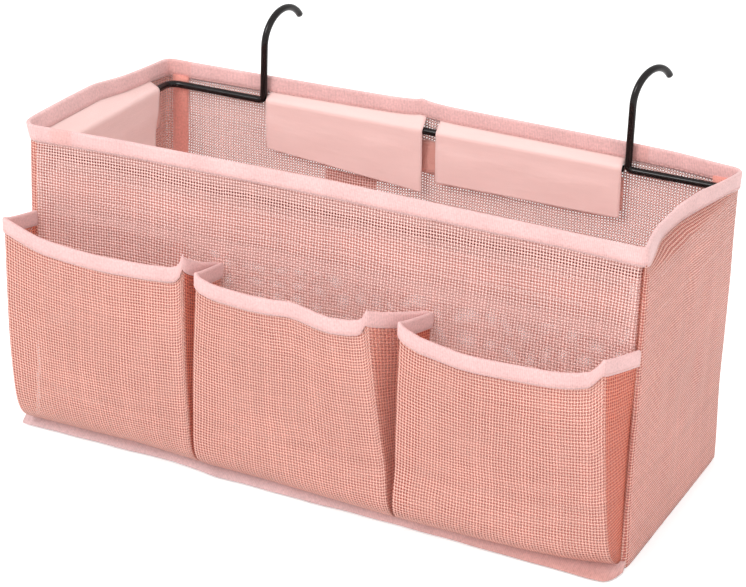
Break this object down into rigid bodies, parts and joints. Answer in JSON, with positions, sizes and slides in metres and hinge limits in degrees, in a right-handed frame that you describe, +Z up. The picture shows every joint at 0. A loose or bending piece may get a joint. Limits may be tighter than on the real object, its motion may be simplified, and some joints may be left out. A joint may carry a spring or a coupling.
{
  "type": "bedside caddy",
  "caption": "Open mesh-cloth box with bellows pockets along its front, held up by a bent wire frame whose two hooks hang over a rail, with cloth flaps closed round the wire.",
  "frame": {"origin": "centre of the underside of the box's floor, in the plane that the caddy stands on", "axes": "+X along the long side, to the right as seen from the pockets; +Y from the pockets to the hooks; +Z up"},
  "size_m": [0.4048, 0.2361, 0.2465],
  "materials": {
    "mesh_cloth": "open plain-weave mesh of coated yarn, dusty pink",
    "binding": "ribbed cloth tape, light pink",
    "fastener": "hook-and-loop tape, dull pink",
    "flap_cloth": "smooth thin woven cloth, pale pink",
    "frame_paint": "gloss black coated steel wire"
  },
  "bodies": {
    "bag": {"front_panel": "mesh_cloth", "back_panel": "mesh_cloth", "left_panel": "mesh_cloth", "right_panel": "mesh_cloth", "floor_panel": "mesh_cloth", "rim_binding": "binding", "corner_tape_back_left": "binding", "corner_tape_back_right": "binding", "corner_tape_front_left": "binding", "corner_tape_front_right": "binding", "floor_seam_tape": "binding", "front_hem_binding": "binding", "pocket_left": "mesh_cloth", "pocket_middle": "mesh_cloth", "pocket_right": "mesh_cloth", "pocket_binding_left": "binding", "pocket_binding_middle": "binding", "pocket_binding_right": "binding", "front_loop_tape": "fastener", "back_loop_tape": "fastener", "left_loop_tape": "fastener", "right_loop_tape": "fastener", "back_patch": "fastener", "frame_wire": "frame_paint", "frame_crossbar": "frame_paint"},
    "front_flap_body": {"front_flap": "flap_cloth", "front_hook_tape": "fastener"},
    "back_left_flap_body": {"back_left_flap": "flap_cloth", "back_left_hook_tape": "fastener"},
    "back_right_flap_body": {"back_right_flap": "flap_cloth", "back_right_hook_tape": "fastener"},
    "left_flap_body": {"left_flap": "flap_cloth", "left_hook_tape": "fastener"},
    "right_flap_body": {"right_flap": "flap_cloth", "right_hook_tape": "fastener"}
  },
  "joints": [
    {"name": "front_flap_hinge", "type": "hinge", "parent": "bag", "child": "front_flap_body", "pos_m": [0, -0.08075, 0.18795], "axis": [1, 0, 0], "range_deg": [0, 110]},
    {"name": "back_left_flap_hinge", "type": "hinge", "parent": "bag", "child": "back_left_flap_body", "pos_m": [-0.066, 0.08075, 0.18795], "axis": [-1, 0, 0], "range_deg": [0, 110]},
    {"name": "back_right_flap_hinge", "type": "hinge", "parent": "bag", "child": "back_right_flap_body", "pos_m": [0.066, 0.08075, 0.18795], "axis": [-1, 0, 0], "range_deg": [0, 110]},
    {"name": "left_flap_hinge", "type": "hinge", "parent": "bag", "child": "left_flap_body", "pos_m": [-0.19775, 0, 0.18795], "axis": [0, -1, 0], "range_deg": [0, 75]},
    {"name": "right_flap_hinge", "type": "hinge", "parent": "bag", "child": "right_flap_body", "pos_m": [0.19775, 0, 0.18795], "axis": [0, 1, 0], "range_deg": [0, 75]}
  ]
}
